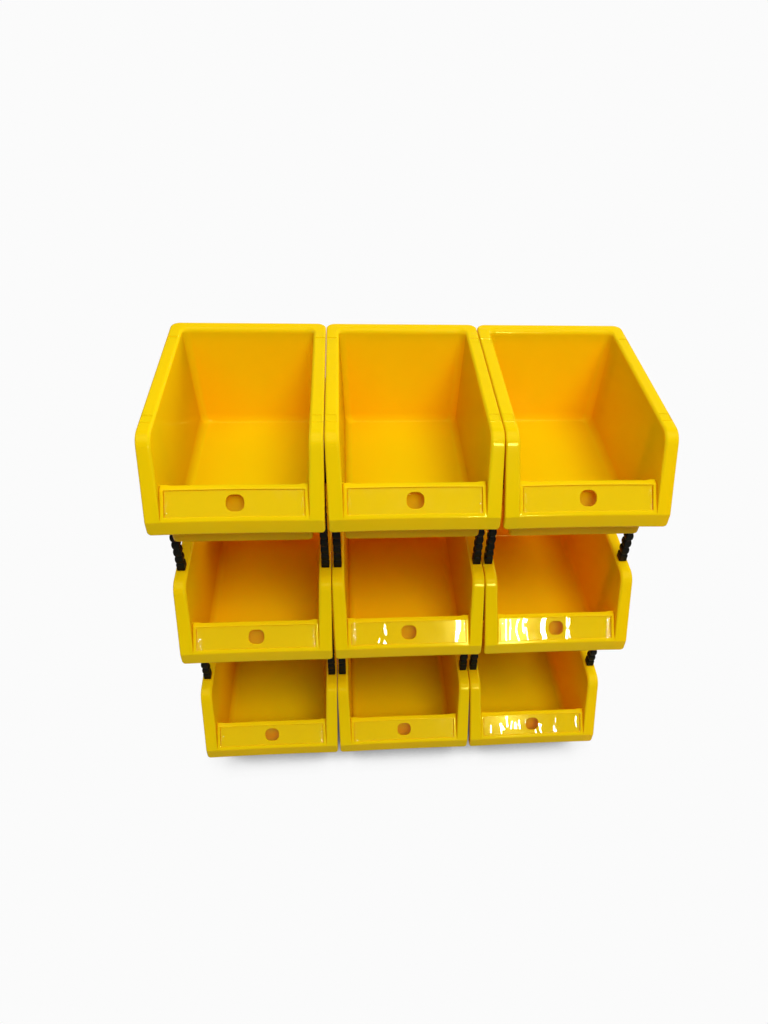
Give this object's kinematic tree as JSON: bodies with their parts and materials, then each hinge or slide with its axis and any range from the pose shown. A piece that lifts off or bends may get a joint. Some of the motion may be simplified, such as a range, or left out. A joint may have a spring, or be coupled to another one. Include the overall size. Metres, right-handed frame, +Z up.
{
  "type": "stackable storage bin rack",
  "caption": "Hopper-front storage bins stacked in columns on ribbed corner posts, with clear label covers; the upper bins lift off and the columns part.",
  "frame": {"origin": "centre of the whole rack's footprint, on the surface it stands on", "axes": "+X to the right along the row of columns, +Y from the open fronts to the backs, +Z up"},
  "size_m": [0.3608, 0.183, 0.355],
  "materials": {
    "bin_shell": "glossy moulded yellow polypropylene with faint flow marks",
    "label_cover": "clear, glossy, slightly wavy film",
    "post": "satin black moulded plastic"
  },
  "bodies": {
    "bottom_left": {"bin_bottom_left": "bin_shell"},
    "cover_bottom_left": {"label_cover_bottom_left": "label_cover"},
    "middle_left": {"bin_middle_left": "bin_shell"},
    "cover_middle_left": {"label_cover_middle_left": "label_cover"},
    "posts_middle_left": {"post_middle_left_front_left": "post", "post_middle_left_front_right": "post", "post_middle_left_back_left": "post", "post_middle_left_back_right": "post"},
    "top_left": {"bin_top_left": "bin_shell"},
    "cover_top_left": {"label_cover_top_left": "label_cover"},
    "posts_top_left": {"post_top_left_front_left": "post", "post_top_left_front_right": "post", "post_top_left_back_left": "post", "post_top_left_back_right": "post"},
    "bottom_center": {"bin_bottom_center": "bin_shell"},
    "cover_bottom_center": {"label_cover_bottom_center": "label_cover"},
    "middle_center": {"bin_middle_center": "bin_shell"},
    "cover_middle_center": {"label_cover_middle_center": "label_cover"},
    "posts_middle_center": {"post_middle_center_front_left": "post", "post_middle_center_front_right": "post", "post_middle_center_back_left": "post", "post_middle_center_back_right": "post"},
    "top_center": {"bin_top_center": "bin_shell"},
    "cover_top_center": {"label_cover_top_center": "label_cover"},
    "posts_top_center": {"post_top_center_front_left": "post", "post_top_center_front_right": "post", "post_top_center_back_left": "post", "post_top_center_back_right": "post"},
    "bottom_right": {"bin_bottom_right": "bin_shell"},
    "cover_bottom_right": {"label_cover_bottom_right": "label_cover"},
    "middle_right": {"bin_middle_right": "bin_shell"},
    "cover_middle_right": {"label_cover_middle_right": "label_cover"},
    "posts_middle_right": {"post_middle_right_front_left": "post", "post_middle_right_front_right": "post", "post_middle_right_back_left": "post", "post_middle_right_back_right": "post"},
    "top_right": {"bin_top_right": "bin_shell"},
    "cover_top_right": {"label_cover_top_right": "label_cover"},
    "posts_top_right": {"post_top_right_front_left": "post", "post_top_right_front_right": "post", "post_top_right_back_left": "post", "post_top_right_back_right": "post"}
  },
  "joints": [
    {"name": "cover_bottom_left_off", "type": "slide", "parent": "bottom_left", "child": "cover_bottom_left", "axis": [0, -0.7501, 0.6613], "range_m": [0, 0.02]},
    {"name": "cover_middle_left_off", "type": "slide", "parent": "middle_left", "child": "cover_middle_left", "axis": [0, -0.7501, 0.6613], "range_m": [0, 0.02]},
    {"name": "lift_middle_left", "type": "slide", "parent": "bottom_left", "child": "middle_left", "axis": [0, 0, 1], "range_m": [0, 0.14]},
    {"name": "posts_middle_left_pull", "type": "slide", "parent": "bottom_left", "child": "posts_middle_left", "axis": [0, 0, 1], "range_m": [0, 0.07]},
    {"name": "cover_top_left_off", "type": "slide", "parent": "top_left", "child": "cover_top_left", "axis": [0, -0.7501, 0.6613], "range_m": [0, 0.02]},
    {"name": "lift_top_left", "type": "slide", "parent": "middle_left", "child": "top_left", "axis": [0, 0, 1], "range_m": [0, 0.14]},
    {"name": "posts_top_left_pull", "type": "slide", "parent": "middle_left", "child": "posts_top_left", "axis": [0, 0, 1], "range_m": [0, 0.07]},
    {"name": "cover_bottom_center_off", "type": "slide", "parent": "bottom_center", "child": "cover_bottom_center", "axis": [0, -0.7501, 0.6613], "range_m": [0, 0.02]},
    {"name": "cover_middle_center_off", "type": "slide", "parent": "middle_center", "child": "cover_middle_center", "axis": [0, -0.7501, 0.6613], "range_m": [0, 0.02]},
    {"name": "lift_middle_center", "type": "slide", "parent": "bottom_center", "child": "middle_center", "axis": [0, 0, 1], "range_m": [0, 0.14]},
    {"name": "posts_middle_center_pull", "type": "slide", "parent": "bottom_center", "child": "posts_middle_center", "axis": [0, 0, 1], "range_m": [0, 0.07]},
    {"name": "cover_top_center_off", "type": "slide", "parent": "top_center", "child": "cover_top_center", "axis": [0, -0.7501, 0.6613], "range_m": [0, 0.02]},
    {"name": "lift_top_center", "type": "slide", "parent": "middle_center", "child": "top_center", "axis": [0, 0, 1], "range_m": [0, 0.14]},
    {"name": "posts_top_center_pull", "type": "slide", "parent": "middle_center", "child": "posts_top_center", "axis": [0, 0, 1], "range_m": [0, 0.07]},
    {"name": "cover_bottom_right_off", "type": "slide", "parent": "bottom_right", "child": "cover_bottom_right", "axis": [0, -0.7501, 0.6613], "range_m": [0, 0.02]},
    {"name": "cover_middle_right_off", "type": "slide", "parent": "middle_right", "child": "cover_middle_right", "axis": [0, -0.7501, 0.6613], "range_m": [0, 0.02]},
    {"name": "lift_middle_right", "type": "slide", "parent": "bottom_right", "child": "middle_right", "axis": [0, 0, 1], "range_m": [0, 0.14]},
    {"name": "posts_middle_right_pull", "type": "slide", "parent": "bottom_right", "child": "posts_middle_right", "axis": [0, 0, 1], "range_m": [0, 0.07]},
    {"name": "cover_top_right_off", "type": "slide", "parent": "top_right", "child": "cover_top_right", "axis": [0, -0.7501, 0.6613], "range_m": [0, 0.02]},
    {"name": "lift_top_right", "type": "slide", "parent": "middle_right", "child": "top_right", "axis": [0, 0, 1], "range_m": [0, 0.14]},
    {"name": "posts_top_right_pull", "type": "slide", "parent": "middle_right", "child": "posts_top_right", "axis": [0, 0, 1], "range_m": [0, 0.07]},
    {"name": "column_left_out", "type": "slide", "parent": "bottom_center", "child": "bottom_left", "axis": [-1, 0, 0], "range_m": [0, 0.1]},
    {"name": "column_right_out", "type": "slide", "parent": "bottom_center", "child": "bottom_right", "axis": [1, 0, 0], "range_m": [0, 0.1]}
  ],
  "couplings": [
    {"joint": "posts_middle_left_pull", "follows": "lift_middle_left", "ratio": 0.5},
    {"joint": "posts_top_left_pull", "follows": "lift_top_left", "ratio": 0.5},
    {"joint": "posts_middle_center_pull", "follows": "lift_middle_center", "ratio": 0.5},
    {"joint": "posts_top_center_pull", "follows": "lift_top_center", "ratio": 0.5},
    {"joint": "posts_middle_right_pull", "follows": "lift_middle_right", "ratio": 0.5},
    {"joint": "posts_top_right_pull", "follows": "lift_top_right", "ratio": 0.5}
  ]
}
